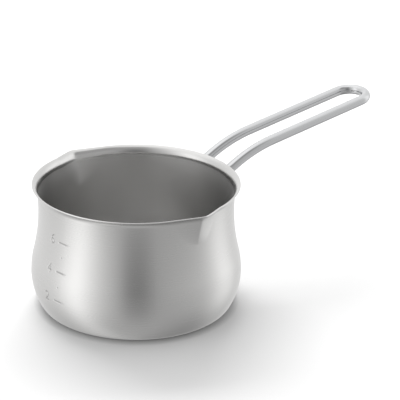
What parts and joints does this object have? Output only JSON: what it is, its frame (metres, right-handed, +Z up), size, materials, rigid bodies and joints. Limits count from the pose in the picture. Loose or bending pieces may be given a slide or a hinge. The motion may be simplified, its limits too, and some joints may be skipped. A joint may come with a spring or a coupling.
{
  "type": "melting pot",
  "caption": "Small bellied steel pouring pot with flared lip, opposite V spouts, stamped volume scale and bent-rod loop handle, for melting wax.",
  "frame": {"origin": "centre of the flat base, on the surface the pot stands on", "axes": "+Z up out of the mouth, +X along the handle, spouts towards +Y and -Y (two degrees off them, at 88 and 268 degrees), stamped scale towards -X"},
  "size_m": [0.252, 0.1324, 0.0936],
  "materials": {
    "sheet_steel": "satin, brushed around the body",
    "rod_steel": "polished",
    "plate_steel": "satin",
    "weld_steel": "as welded, cleaned"
  },
  "bodies": {
    "root": {"pot_body": "sheet_steel", "handle_rod": "rod_steel", "handle_saddle": "plate_steel", "weld_left": "weld_steel", "weld_right": "weld_steel", "plug_welds": "weld_steel"}
  },
  "joints": []
}
